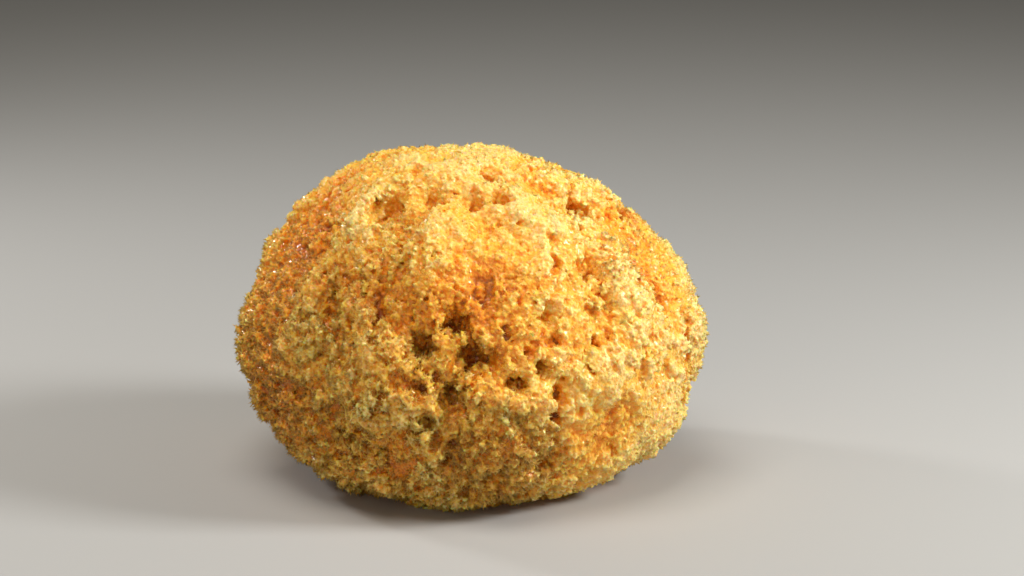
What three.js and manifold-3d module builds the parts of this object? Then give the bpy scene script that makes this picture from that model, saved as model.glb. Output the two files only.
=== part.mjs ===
// A natural bath sponge: one rounded, lobed mass of springy fibre skeleton, cut off flat where it
// grew on the sea bed. The outside is drawn at the tips of its tufts. Broad lobes swell between
// creases, and the large water pores (oscula) sink into it.
//
// Units are millimetres. The frame is +Z up with the origin at the middle of the cut underside,
// and -Y is the front. A place on the sponge is given by two angles about its heart: a turn from
// the front, positive towards +X, and a rise above the level of the heart.
import * as THREE from "three";
import { mergeVertices } from "three/addons/utils/BufferGeometryUtils.js";
import Module from "manifold-3d";

// Driving dimensions.
const WIDTH = 130;
const DEPTH = 120;
const HEIGHT = 94;
const HEART_HEIGHT = 38; // level of the widest section

// The dome above the heart is elliptical, and the fuller underside tucks in to the cut.
const CROWN_RISE = 55;
const CROWN_FULLNESS = 2.04;
const BELLY_DROP = 43.5;
const BELLY_FULLNESS = 2.5;

const SPHERE_DETAIL = 14; // each face of the icosahedron is split into (this + 1) squared
const WELD_DISTANCE = 1e-4; // of the unit sphere's shared corners

// Lobes: [turn, rise, radius, swell], the radius being the angle that the lobe reaches to.
const FRONT_LOBES = [
  [-62, 8, 24, 2.2],
  [-66, 40, 24, 2.4],
  [-72, 60, 30, 4.6],
  [-76, -20, 22, 1.2],
  [-28, 34, 14, 1.8],
  [-27, 0, 17, 2.4],
  [-9, 32, 15, 1.4],
  [7, -16, 15, 3.0],
  [9, -32, 15, 3.2],
  [13, -2, 11, 1.6],
  [22, 32, 15, 1.6],
  [50, 8, 22, 2.2],
  [52, 30, 17, 1.4],
  [88, 8, 30, 3.4],
  [-22, -20, 13, 1.6],
  [-8, 66, 22, 2.6],
];
const REAR_LOBE_COUNT = 26;
const REAR_LOBE_RADIUS = [13.6, 22.1]; // from the smallest to the largest
const REAR_LOBE_SWELL = [1.14, 2.66];

// Creases: a run of [turn, rise] stops, how wide and how deep.
const CREASES = [
  { stops: [[-56, 44], [-42, 34], [-38, 24], [-35, 12], [-37, 0], [-36, -14]], width: 4.6, depth: 2.8 },
  { stops: [[-20, 20], [-12, 12], [3, 9], [14, 2], [25, 3]], width: 4.0, depth: 2.6 },
  { stops: [[-9, 6], [-4, -1], [-3, -16], [-3, -30]], width: 4.0, depth: 3.4 },
  { stops: [[60, 48], [44, 32], [41, 20], [39, 13], [28, 4], [24, -8], [26, -22]], width: 4.2, depth: 2.6 },
  { stops: [[-36, 50], [-25, 37], [-21, 26], [-20, 20]], width: 3.6, depth: 2.0 },
  { stops: [[-19, 57], [-2, 55], [10, 48], [24, 40]], width: 4.0, depth: 2.2 },
  { stops: [[-4, 0], [3, -4], [11, -5], [22, -8]], width: 3.2, depth: 2.0 },
  { stops: [[96, 58], [104, 34], [98, 12], [106, -16]], width: 4.6, depth: 2.8 },
  { stops: [[140, 62], [132, 38], [141, 16], [134, -18]], width: 4.6, depth: 2.6 },
  { stops: [[98, 12], [118, 7], [141, 16], [160, 8], [178, 14]], width: 4.2, depth: 2.6 },
  { stops: [[188, 60], [179, 38], [178, 14], [184, -16]], width: 4.6, depth: 3.0 },
  { stops: [[178, 14], [200, 8], [222, 15], [243, 6]], width: 4.2, depth: 2.4 },
  { stops: [[236, 58], [228, 36], [222, 15], [229, -18]], width: 4.6, depth: 2.8 },
  { stops: [[268, 52], [262, 30], [270, 8], [264, -18]], width: 4.6, depth: 2.6 },
];

// Water pores: [turn, rise, mouth diameter, depth].
const FRONT_PORES = [
  [-36, 50, 8.6, 8],
  [-18, 56, 4.6, 6],
  [4, 57, 4.8, 6],
  [17, 67, 5.0, 6],
  [20, 57, 5.2, 6],
  [62, 50, 7.0, 6],
  [-12, 12, 6.4, 10],
  [-3, 18, 4.8, 7],
  [3, 9, 5.4, 9],
  [14, 2, 5.6, 9],
  [22, 6, 4.4, 6],
  [-10, -8, 4.8, 8],
  [-4, -1, 5.2, 7],
  [24, 20, 4.8, 6],
  [43, 31, 4.6, 6],
  [-43, 20, 4.8, 5],
  [9, -25, 5.4, 6],
];
const REAR_PORE_COUNT = 17;
const REAR_PORE_MOUTH = [4.6, 8.2];
const REAR_PORE_DEPTH = [1.1, 1.5]; // as shares of the mouth
const PORE_THROAT = 0.62; // width at mid depth, as a share of the mouth
// A pore's outline below the surface: [radius, depth], as shares of the throat's or the mouth's
// diameter and of the pore's depth. Its rim flares from there to the surface and beyond it.
const PORE_TIP = [0.32, 0.9];
const PORE_WAIST = [0.5, 0.5];
const PORE_SHOULDER = [0.46, 0.12];
const PORE_RIM = 0.6; // radius at the rim, as a share of the mouth
const PORE_FLARE = 0.9; // radius where the cutter ends, well outside
const PORE_RIM_HEIGHT = 0.1; // how far the rim stands outside, as a share of the mouth
const PORE_SIDES = 8;
const PORE_OVAL = 0.35; // how far from round a bore may be
const PORE_LIFT = 5; // how far a pore's cutter starts outside the surface

const REAR_FROM = 76; // degrees of turn where the front lists end
const REAR_SWEEP = 360 - 2 * REAR_FROM;
const REAR_LOW = -0.34; // sine of the rise of the lowest place at the back
const REAR_HIGH = 0.88; // and of the highest
const TURN_JITTER = 0.06; // of the sweep
const GOLDEN_SHARE = 0.61803398875;

const degrees = THREE.MathUtils.degToRad;
const LEVEL = new THREE.Vector3(0, 0, HEART_HEIGHT);

// The unit vector from the heart for a turn and a rise in degrees.
function towards(turn, rise) {
  const level = Math.cos(degrees(rise));
  return new THREE.Vector3(
    Math.sin(degrees(turn)) * level,
    -Math.cos(degrees(turn)) * level,
    Math.sin(degrees(rise)),
  );
}

// A repeatable number from 0 to 1 for each index and salt.
function chance(index, salt) {
  const x = Math.sin(index * 12.9898 + salt * 78.233) * 43758.5453;
  return x - Math.floor(x);
}

// A repeatable size between the two ends of a range.
function pick([least, most], index, salt) {
  return THREE.MathUtils.lerp(least, most, chance(index, salt));
}

// Evenly scattered [turn, rise] places round the back and sides.
function rearPlaces(count, salt) {
  return Array.from({ length: count }, (_, i) => {
    const height = THREE.MathUtils.lerp(REAR_LOW, REAR_HIGH, (i + 0.5) / count);
    const turn = REAR_FROM + REAR_SWEEP * ((i * GOLDEN_SHARE + chance(i, salt) * TURN_JITTER) % 1);
    return [turn, THREE.MathUtils.radToDeg(Math.asin(height))];
  });
}

function lobes() {
  const rear = rearPlaces(REAR_LOBE_COUNT, 1).map(([turn, rise], i) => [
    turn,
    rise,
    pick(REAR_LOBE_RADIUS, i, 2),
    pick(REAR_LOBE_SWELL, i, 3),
  ]);
  return [...FRONT_LOBES, ...rear].map(([turn, rise, radius, swell]) => ({
    middle: towards(turn, rise),
    radius: degrees(radius),
    swell,
  }));
}

function pores() {
  const rear = rearPlaces(REAR_PORE_COUNT, 4).map(([turn, rise], i) => {
    const mouth = pick(REAR_PORE_MOUTH, i, 5);
    return [turn, rise, mouth, mouth * pick(REAR_PORE_DEPTH, i, 6)];
  });
  return [...FRONT_PORES, ...rear];
}

// Distance from the heart to the plain dome in a direction.
function domeRadius(way) {
  const above = way.z >= 0;
  const rise = above ? CROWN_RISE : BELLY_DROP;
  const fullness = above ? CROWN_FULLNESS : BELLY_FULLNESS;
  const plan = Math.hypot(way.x / (WIDTH / 2), way.y / (DEPTH / 2));
  return (plan ** fullness + Math.abs(way.z / rise) ** fullness) ** (-1 / fullness);
}

const LOBES = lobes();
const CREASE_LINES = CREASES.map(({ stops, width, depth }) => ({
  points: stops.map(([turn, rise]) => towards(turn, rise)),
  width: degrees(width),
  depth,
}));

// How far the lobes swell the surface out in a direction. The strongest one leads.
function swellAt(way) {
  return LOBES.reduce((most, { middle, radius, swell }) => {
    const away = way.angleTo(middle) / radius;
    return away < 1 ? Math.max(most, swell * (1 - away * away)) : most;
  }, 0);
}

// How far the creases draw it in.
function drawInAt(way) {
  const line = new THREE.Line3();
  const nearest = new THREE.Vector3();
  return CREASE_LINES.reduce((most, { points, width, depth }) => {
    const away = points.slice(1).reduce((least, point, i) => {
      line.set(points[i], point).closestPointToPoint(way, true, nearest);
      return Math.min(least, way.angleTo(nearest));
    }, Infinity);
    return Math.max(most, depth * Math.exp(-((away / width) ** 2)));
  }, 0);
}

function surfaceRadius(way) {
  return domeRadius(way) + swellAt(way) - drawInAt(way);
}

// The closed lobed mass, before the pores and the cut.
function lobedMass() {
  const geometry = new THREE.IcosahedronGeometry(1, SPHERE_DETAIL);
  geometry.deleteAttribute("normal");
  geometry.deleteAttribute("uv");
  const ball = mergeVertices(geometry, WELD_DISTANCE);
  const position = ball.getAttribute("position");
  const way = new THREE.Vector3();
  for (let i = 0; i < position.count; i++) {
    way.fromBufferAttribute(position, i).normalize();
    const place = way.clone().multiplyScalar(surfaceRadius(way)).add(LEVEL);
    position.setXYZ(i, place.x, place.y, place.z);
  }
  return ball;
}

// A pore's cutter: a round-ended plug that narrows inwards, its mouth just outside the surface.
function porePlug([turn, rise, mouth, depth]) {
  const throat = mouth * PORE_THROAT;
  const profile = [
    [0, -depth],
    [throat * PORE_TIP[0], -depth * PORE_TIP[1]],
    [throat * PORE_WAIST[0], -depth * PORE_WAIST[1]],
    [mouth * PORE_SHOULDER[0], -depth * PORE_SHOULDER[1]],
    [mouth * PORE_RIM, mouth * PORE_RIM_HEIGHT],
    [mouth * PORE_FLARE, PORE_LIFT],
    [0, PORE_LIFT],
  ].map(([radius, height]) => new THREE.Vector2(radius, height));
  const plug = new THREE.LatheGeometry(profile, PORE_SIDES);
  plug.scale(1 + PORE_OVAL * chance(turn, rise), 1, 1 / (1 + PORE_OVAL * chance(rise, turn)));
  const way = towards(turn, rise);
  const outwards = new THREE.Quaternion().setFromUnitVectors(new THREE.Vector3(0, 1, 0), way);
  plug.applyQuaternion(outwards);
  plug.translate(...way.clone().multiplyScalar(surfaceRadius(way)).add(LEVEL).toArray());
  return plug;
}

// The block under the sponge that the flat cut takes away.
function groundBlock() {
  const block = new THREE.BoxGeometry(2 * WIDTH, 2 * DEPTH, HEIGHT);
  block.translate(0, 0, -HEIGHT / 2);
  return block;
}

const wasm = await Module();
wasm.setup();

function solidOf(geometry) {
  const bare = geometry.clone();
  bare.deleteAttribute("normal");
  bare.deleteAttribute("uv");
  const merged = mergeVertices(bare, WELD_DISTANCE);
  return new wasm.Manifold(
    new wasm.Mesh({
      numProp: 3,
      vertProperties: merged.getAttribute("position").array,
      triVerts: new Uint32Array(merged.index.array),
    }),
  );
}

function geometryOf(solid) {
  const mesh = solid.getMesh();
  const geometry = new THREE.BufferGeometry();
  geometry.setAttribute("position", new THREE.BufferAttribute(new Float32Array(mesh.vertProperties), 3));
  geometry.setIndex(new THREE.BufferAttribute(new Uint32Array(mesh.triVerts), 1));
  return geometry;
}

// Brings the cut sponge to its driving dimensions, standing on the origin.
function toSize(geometry) {
  geometry.computeBoundingBox();
  const { min, max } = geometry.boundingBox;
  geometry.translate(-(min.x + max.x) / 2, -(min.y + max.y) / 2, -min.z);
  geometry.scale(WIDTH / (max.x - min.x), DEPTH / (max.y - min.y), HEIGHT / (max.z - min.z));
  geometry.computeVertexNormals();
  return geometry;
}

function spongeMesh() {
  const cut = pores().reduce(
    (solid, pore) => solid.subtract(solidOf(porePlug(pore))),
    solidOf(lobedMass()).subtract(solidOf(groundBlock())),
  );
  const material = new THREE.MeshStandardMaterial({ color: 0xd79a3c, roughness: 0.8, metalness: 0 });
  const mesh = new THREE.Mesh(toSize(geometryOf(cut)), material);
  mesh.name = "sponge";
  return mesh;
}

const part = new THREE.Group();
part.add(spongeMesh());

export default part;
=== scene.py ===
"""A natural sea sponge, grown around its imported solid.

The solid gives the sponge its size, its place and its largest folds. From it this script works out
the real skin on a lattice of sample points: lobes, upright columns with creases and crevices between
them, round florets, small granules, open pores, and a net of fine channels. Short fibre tips then
stand out of the granules.

Places on the sponge are given by the way they face from its heart: a turn from the front, positive
to the right, and a rise, both in degrees. Lengths are in millimetres until a mesh is written, and
then in metres.
"""
import itertools
import logging
import math
from dataclasses import dataclass, field, replace
from enum import Enum

import bpy
import numpy as np
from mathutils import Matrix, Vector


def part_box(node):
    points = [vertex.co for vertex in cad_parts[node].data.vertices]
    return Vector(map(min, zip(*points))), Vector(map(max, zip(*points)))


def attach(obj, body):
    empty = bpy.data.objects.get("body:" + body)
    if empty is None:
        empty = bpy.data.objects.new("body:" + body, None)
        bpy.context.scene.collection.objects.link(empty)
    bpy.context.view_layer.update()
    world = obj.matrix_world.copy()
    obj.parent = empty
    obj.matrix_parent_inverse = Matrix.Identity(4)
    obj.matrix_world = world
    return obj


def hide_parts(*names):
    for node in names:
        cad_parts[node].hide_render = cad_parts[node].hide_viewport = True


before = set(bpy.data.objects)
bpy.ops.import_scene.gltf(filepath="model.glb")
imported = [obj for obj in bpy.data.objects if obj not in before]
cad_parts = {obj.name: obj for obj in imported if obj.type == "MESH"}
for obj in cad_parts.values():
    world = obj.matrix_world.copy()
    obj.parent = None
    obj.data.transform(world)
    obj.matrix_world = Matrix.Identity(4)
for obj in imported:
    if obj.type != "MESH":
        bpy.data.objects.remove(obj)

import openvdb
from mathutils import Vector

MM = 0.001
NODE = "sponge"
BODY = "root"
log = logging.getLogger("sponge")

Rng = np.random.Generator
Range = tuple[float, float]
Colour = tuple[float, float, float]
Socket = bpy.types.NodeSocket


# ---------------------------------------------------------------- the lattice that shapes the skin


def spline_weights(places: np.ndarray, start: float, spacing: float) -> np.ndarray:
    """Works out how a smooth curve through coarse values is read at each place.

    Args:
        places: where the curve is read.
        start: the place of the first span of coarse values.
        spacing: how far apart the coarse values are.

    Returns:
        One row of weights for each place, one column for each coarse value.
    """
    along = (places - start) / spacing
    span = np.floor(along).astype(int)
    u = along - span
    shares = ((1 - u) ** 3, 3 * u**3 - 6 * u**2 + 4, -3 * u**3 + 3 * u**2 + 3 * u + 1, u**3)
    weights = np.zeros((len(places), span.max() + 4), np.float32)
    for shift, share in enumerate(shares):
        weights[np.arange(len(places)), span + shift] = share / 6
    return weights


def blend_up(coarse: np.ndarray, rows: list[np.ndarray]) -> np.ndarray:
    """Spreads a coarse block of values onto finer sample points along all three axes.

    Args:
        coarse: the block of coarse values.
        rows: the weights for each axis, from spline_weights.

    Returns:
        The block of finer values.
    """
    values = np.tensordot(rows[0], coarse, (1, 0))
    values = np.matmul(rows[1], values)
    return np.matmul(values, rows[2].T)


def ease(values: np.ndarray, low: float, high: float) -> np.ndarray:
    """Returns 0 below low and 1 above high, with a soft step between them."""
    t = np.clip((values - low) / (high - low), 0, 1)
    return t * t * (3 - 2 * t)


def facing(turn: float, rise: float) -> np.ndarray:
    """Returns the direction with this turn from the front and this rise, in degrees."""
    turn, rise = math.radians(turn), math.radians(rise)
    level = math.cos(rise)
    return np.array((math.sin(turn) * level, -math.cos(turn) * level, math.sin(rise)))


def softer_max(a: np.ndarray, b: np.ndarray, blend: float) -> np.ndarray:
    """Returns the larger of two fields, rounded over where they are within blend of each other."""
    near = np.clip(1 - np.abs(a - b) / blend, 0, 1)
    return np.maximum(a, b) + near * near * blend / 4


@dataclass(frozen=True)
class Lattice:
    """Evenly spaced sample points around the sponge, in millimetres."""

    low: tuple[float, float, float]
    step: float
    counts: tuple[int, int, int]

    def line(self, axis: int) -> np.ndarray:
        """Returns the places of the sample points along one axis."""
        return (self.low[axis] + self.step * np.arange(self.counts[axis])).astype(np.float32)

    def places(self) -> tuple[np.ndarray, np.ndarray, np.ndarray]:
        """Returns the three coordinates of the sample points, each shaped to broadcast."""
        x, y, z = (self.line(axis) for axis in range(3))
        return x[:, None, None], y[None, :, None], z[None, None, :]

    def drift(self, spacing: float, rng: Rng) -> np.ndarray:
        """Makes smooth random variation.

        Args:
            spacing: the size of its swells.
            rng: the source of chance.

        Returns:
            A value for each sample point, with a mean of about 0 and a spread of 1.
        """
        rows = [spline_weights(self.line(axis), self.low[axis], spacing) for axis in range(3)]
        coarse = rng.standard_normal([row.shape[1] for row in rows]).astype(np.float32)
        values = blend_up(coarse, rows)
        return values / values.std()

    def scatter(self, spacing: float, rng: Rng) -> np.ndarray:
        """Scatters points through the whole lattice, one in each cube.

        Args:
            spacing: the side of a cube.
            rng: the source of chance.

        Returns:
            The points, one a row.
        """
        sides = [int(self.step * count / spacing) for count in self.counts]
        cube = np.stack(np.meshgrid(*(np.arange(side) for side in sides), indexing="ij"), -1)
        cube = cube.reshape(-1, 3).astype(np.float32)
        return np.array(self.low) + (cube + rng.uniform(0, 1, cube.shape)) * spacing

    def balls(self, centres: np.ndarray, radii: np.ndarray, tall: np.ndarray) -> np.ndarray:
        """Measures how far the sample points lie outside a crowd of round lumps.

        Args:
            centres: the middle of each lump.
            radii: its radius.
            tall: how many times taller than wide it is.

        Returns:
            The distance at each sample point, up to a little over one radius.
        """
        far = float(radii.max())
        field = np.full(math.prod(self.counts), far, np.float32)
        first = np.floor((centres - np.array(self.low)) / self.step).astype(int)
        reach = int((radii * tall).max() / self.step) + 2
        wide = int(radii.max() / self.step) + 2
        sideways, upward = range(-wide, wide + 1), range(-reach, reach + 1)
        for shift in itertools.product(sideways, sideways, upward):
            point = first + shift
            gap = self.low + self.step * point - centres
            gap[:, 2] /= tall
            apart = np.sqrt((gap * gap).sum(1)) - radii
            near = (apart < far) & (point >= 0).all(1) & (point < self.counts).all(1)
            number = np.ravel_multi_index(point[near].T, self.counts)
            np.minimum.at(field, number, apart[near].astype(np.float32))
        return field.reshape(self.counts)

    def blur(self, values: np.ndarray, reach: int) -> np.ndarray:
        """Averages a field over a small cube around each sample point.

        Args:
            values: a value for each sample point.
            reach: how many steps the cube reaches to each side.

        Returns:
            The averaged field.
        """
        for axis in range(3):
            padding = [(0, 0)] * 3
            padding[axis] = (reach + 1, reach)
            total = np.cumsum(np.pad(values, padding, "edge"), axis, dtype=np.float64)
            ahead = np.take(total, range(2 * reach + 1, total.shape[axis]), axis)
            behind = np.take(total, range(0, total.shape[axis] - 2 * reach - 1), axis)
            values = ((ahead - behind) / (2 * reach + 1)).astype(np.float32)
        return values

    def read(self, values: np.ndarray, points: np.ndarray) -> np.ndarray:
        """Reads a field between its sample points.

        Args:
            values: a value for each sample point.
            points: the points to read at, one a row.

        Returns:
            The value at each point.
        """
        at = (points - np.array(self.low)) / self.step
        at = np.clip(at, 0, np.array(self.counts) - 1.001)
        cell = np.floor(at).astype(int)
        part = at - cell
        total = np.zeros(len(points))
        for corner in itertools.product((0, 1), repeat=3):
            share = np.prod(np.where(corner, part, 1 - part), axis=1)
            i, j, k = (cell + corner).T
            total += share * values[i, j, k]
        return total


# ------------------------------------------------------------------------------------- the body


@dataclass(frozen=True)
class Pore:
    """One open pore: the way its mouth faces, its width, and its depth for that width."""

    turn: float
    rise: float
    width: float
    depth: float = 1.0


CROWN_PORES = (
    Pore(-36, 50, 9.5, 0.35), Pore(-18, 56, 4.4, 0.6), Pore(-3, 60, 4.0, 0.6), Pore(4, 57, 4.6, 0.5),
    Pore(17, 67, 4.8, 0.4), Pore(20, 57, 5.0, 0.45), Pore(30, 63, 3.0), Pore(62, 50, 6.6, 0.4),
    Pore(5, 50, 3.0), Pore(9, 49, 2.6), Pore(13, 48, 3.2), Pore(32, 38, 3.0),
    Pore(-16, 40, 1.8, 1.4), Pore(-32, 36, 2.0, 1.2), Pore(1, 38, 2.5, 0.8), Pore(46, 33, 4.0, 0.6),
    Pore(-54, 61, 5.0, 0.5), Pore(-44, 38, 3.0, 0.7),
)
RIGHT_PORES = (
    Pore(43, 31, 3.2, 1.2), Pore(42, 24, 3.6, 0.9), Pore(41, 20, 3.8, 0.8), Pore(40, 16, 2.4),
    Pore(41, 13, 3.0), Pore(37, 11, 2.0, 1.3), Pore(31, 11, 2.0, 1.2), Pore(28, 7, 1.8, 1.2),
    Pore(64, 12, 3.5, 0.5), Pore(62, 3, 3.5, 0.5), Pore(44, 4, 2.6, 0.8),
)
MIDDLE_PORES = (
    Pore(-14, 12, 2.8, 1.3), Pore(-11, 11, 2.4, 1.4), Pore(-9, 9, 2.4, 1.3), Pore(-3, 18, 3.4, 0.6),
    Pore(-17, 20, 2.6, 1.2), Pore(-12, 24, 1.9, 1.5), Pore(-3, 25, 4.0, 0.4), Pore(1, 8, 2.2, 1.2),
    Pore(3, 10, 1.8, 1.2), Pore(5, 9, 2.6, 0.7), Pore(-8, 4, 2.3, 1.8), Pore(-14, 3, 4.4, 0.8),
    Pore(2, 4, 1.9, 1.5), Pore(-5, -1, 4.8, 0.9), Pore(-3, -4, 3.8), Pore(21, 5, 3.2),
    Pore(14, 2, 4.4, 1.0), Pore(24, 20, 4.0, 0.8), Pore(17, 14, 1.9, 1.4), Pore(12, 18, 2.0, 1.4),
    Pore(19, 23, 1.8, 1.3), Pore(12, 22, 4.0, 0.5),
)
LOW_PORES = (
    Pore(-10, -8, 4.2, 1.6), Pore(-9, -13, 2.4, 1.4), Pore(-3, -16, 3.8, 1.2), Pore(-5, -20, 4.2, 1.1),
    Pore(-2, -32, 4.0), Pore(12, -8, 2.6, 1.1), Pore(14, -13, 2.6), Pore(12, -19, 3.2, 1.1),
    Pore(9, -25, 4.4), Pore(25, -22, 3.8), Pore(-9, -35, 3.0),
)
LEFT_PORES = (
    Pore(-45, 29, 2.0, 1.6), Pore(-42, 31, 1.8, 1.6), Pore(-37, 27, 2.6, 1.6), Pore(-43, 24, 1.6, 1.4),
    Pore(-42, 21, 2.4, 1.6), Pore(-53, 16, 2.2, 1.5), Pore(-46, 16, 2.2, 1.5), Pore(-43, 18, 1.8, 1.4),
    Pore(-31, 30, 1.8, 1.4), Pore(-28, 28, 1.8, 1.4), Pore(-22, 25, 3.0), Pore(-20, 17, 2.5, 1.5),
)
FRONT_PORES = CROWN_PORES + RIGHT_PORES + MIDDLE_PORES + LOW_PORES + LEFT_PORES


@dataclass(frozen=True)
class Crevice:
    """A narrow upright cleft in the skin, from one facing, its turn and rise, to another."""

    start: Range
    end: Range
    width: float = 2.5
    depth: float = 1.3
    spacing: float = 1.4
    sway: float = 0.9

    def pores(self) -> list[Pore]:
        """Returns the winding chain of small pores that opens the cleft."""
        count = round(abs(self.end[1] - self.start[1]) / self.spacing) + 1
        chain = []
        for turn, rise in np.linspace(self.start, self.end, count).tolist():
            chain.append(Pore(turn + self.sway * math.sin(rise), rise, self.width, self.depth))
        return chain


CREVICES = (
    Crevice((44, 34), (41, 13), 3.0), Crevice((32, 41), (22, 16), 2.4), Crevice((16, 31), (16, 18), 2.2),
    Crevice((24, 20), (23, 10)), Crevice((18, 24), (18, 10), 2.2), Crevice((26, 2), (25, -10)),
    Crevice((12, 19), (12, 12), 2.2), Crevice((-7, 4), (-1, -6), 2.6), Crevice((-3, -12), (-3, -24), 3.0),
    Crevice((-11, -8), (-8, -14), 3.0), Crevice((-17, 5), (-12, 0), 2.8), Crevice((-28, 30), (-24, 15)),
    Crevice((-44, 33), (-38, 26)), Crevice((-45, -6), (-44, -22), 2.8), Crevice((74, 12), (72, -12)),
    Crevice((110, 32), (113, 6), 2.8), Crevice((140, 10), (136, -14)), Crevice((165, 38), (160, 10), 3.0),
    Crevice((-155, 22), (-159, -10), 2.8), Crevice((-128, 38), (-124, 12)),
    Crevice((-108, 20), (-104, -8), 2.8), Crevice((-80, 34), (-77, 8)),
)


@dataclass(frozen=True)
class Zone:
    """A soft-edged part of the surface: its middle, how far it reaches in degrees, and its strength."""

    turn: float
    rise: float
    reach: float
    strength: float


# CROWN is where columns and creases fade out, and UPRIGHT where florets stand tall. The stain zones are
# darker where they are above 0 and paler below it; they mix real stains with painted light and shade.
CROWN = Zone(0, 90, 55, 0.75)
UPRIGHT = Zone(-16, 14, 40, 0.9)
LOOSE = (
    Zone(-42, 26, 34, 0.8), Zone(2, 6, 36, 0.55), Zone(-44, -18, 62, 1.0), Zone(8, -24, 32, 0.95),
    Zone(-170, 0, 85, 0.65),
)
RUGGED = (Zone(-35, -8, 88, 0.85), Zone(175, 0, 95, 0.75))
FEATHERY = (Zone(-50, -20, 75, 0.8), Zone(175, -10, 95, 0.4))
# The broad zones are painted light and shade: paler towards the key light on the right and towards the
# crown, darker on the left, at the back and underneath. The small zones are darker and paler spots.
STAINS_AND_PAINTED_LIGHT = (
    Zone(-60, -10, 80, 0.10), Zone(0, 4, 38, 0.06), Zone(0, -90, 75, 0.06), Zone(150, -5, 70, 0.05),
    Zone(75, 25, 70, -0.15), Zone(0, 80, 55, -0.07), Zone(12, 60, 14, -0.08), Zone(62, 50, 9, -0.2),
    Zone(5, -28, 24, -0.03), Zone(-27, -2, 12, -0.1), Zone(-18, -7, 10, -0.12), Zone(-53, -5, 9, 0.1),
    Zone(-12, 2, 7, 0.15), Zone(-4, -3, 6, 0.15), Zone(-3, -20, 8, 0.12), Zone(-42, -20, 8, 0.1),
    Zone(-40, 45, 14, -0.08), Zone(-25, 8, 9, -0.06), Zone(48, -10, 30, -0.05), Zone(-50, 42, 14, -0.08),
)
RUSTS = (
    Zone(8, 48, 12, 0.25), Zone(-3, 27, 9, 0.15), Zone(3, 17, 8, 0.15), Zone(24, -3, 10, 0.2),
    Zone(41, 22, 8, 0.25), Zone(-34, 28, 14, 0.05), Zone(-54, 60, 14, 0.05),
    Zone(120, 20, 14, 0.2), Zone(-130, 40, 14, 0.2), Zone(180, 5, 16, 0.2), Zone(-100, 0, 14, 0.15),
)


@dataclass(frozen=True)
class Skin:
    """A whole closed skin, in millimetres."""

    corners: np.ndarray
    faces: np.ndarray
    normals: np.ndarray


class Side(Enum):
    """The four sides of the sponge, in order of their turn, each by its middle from the front."""

    LEFT = -90
    FRONT = 0
    RIGHT = 90
    BACK = 180


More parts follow.
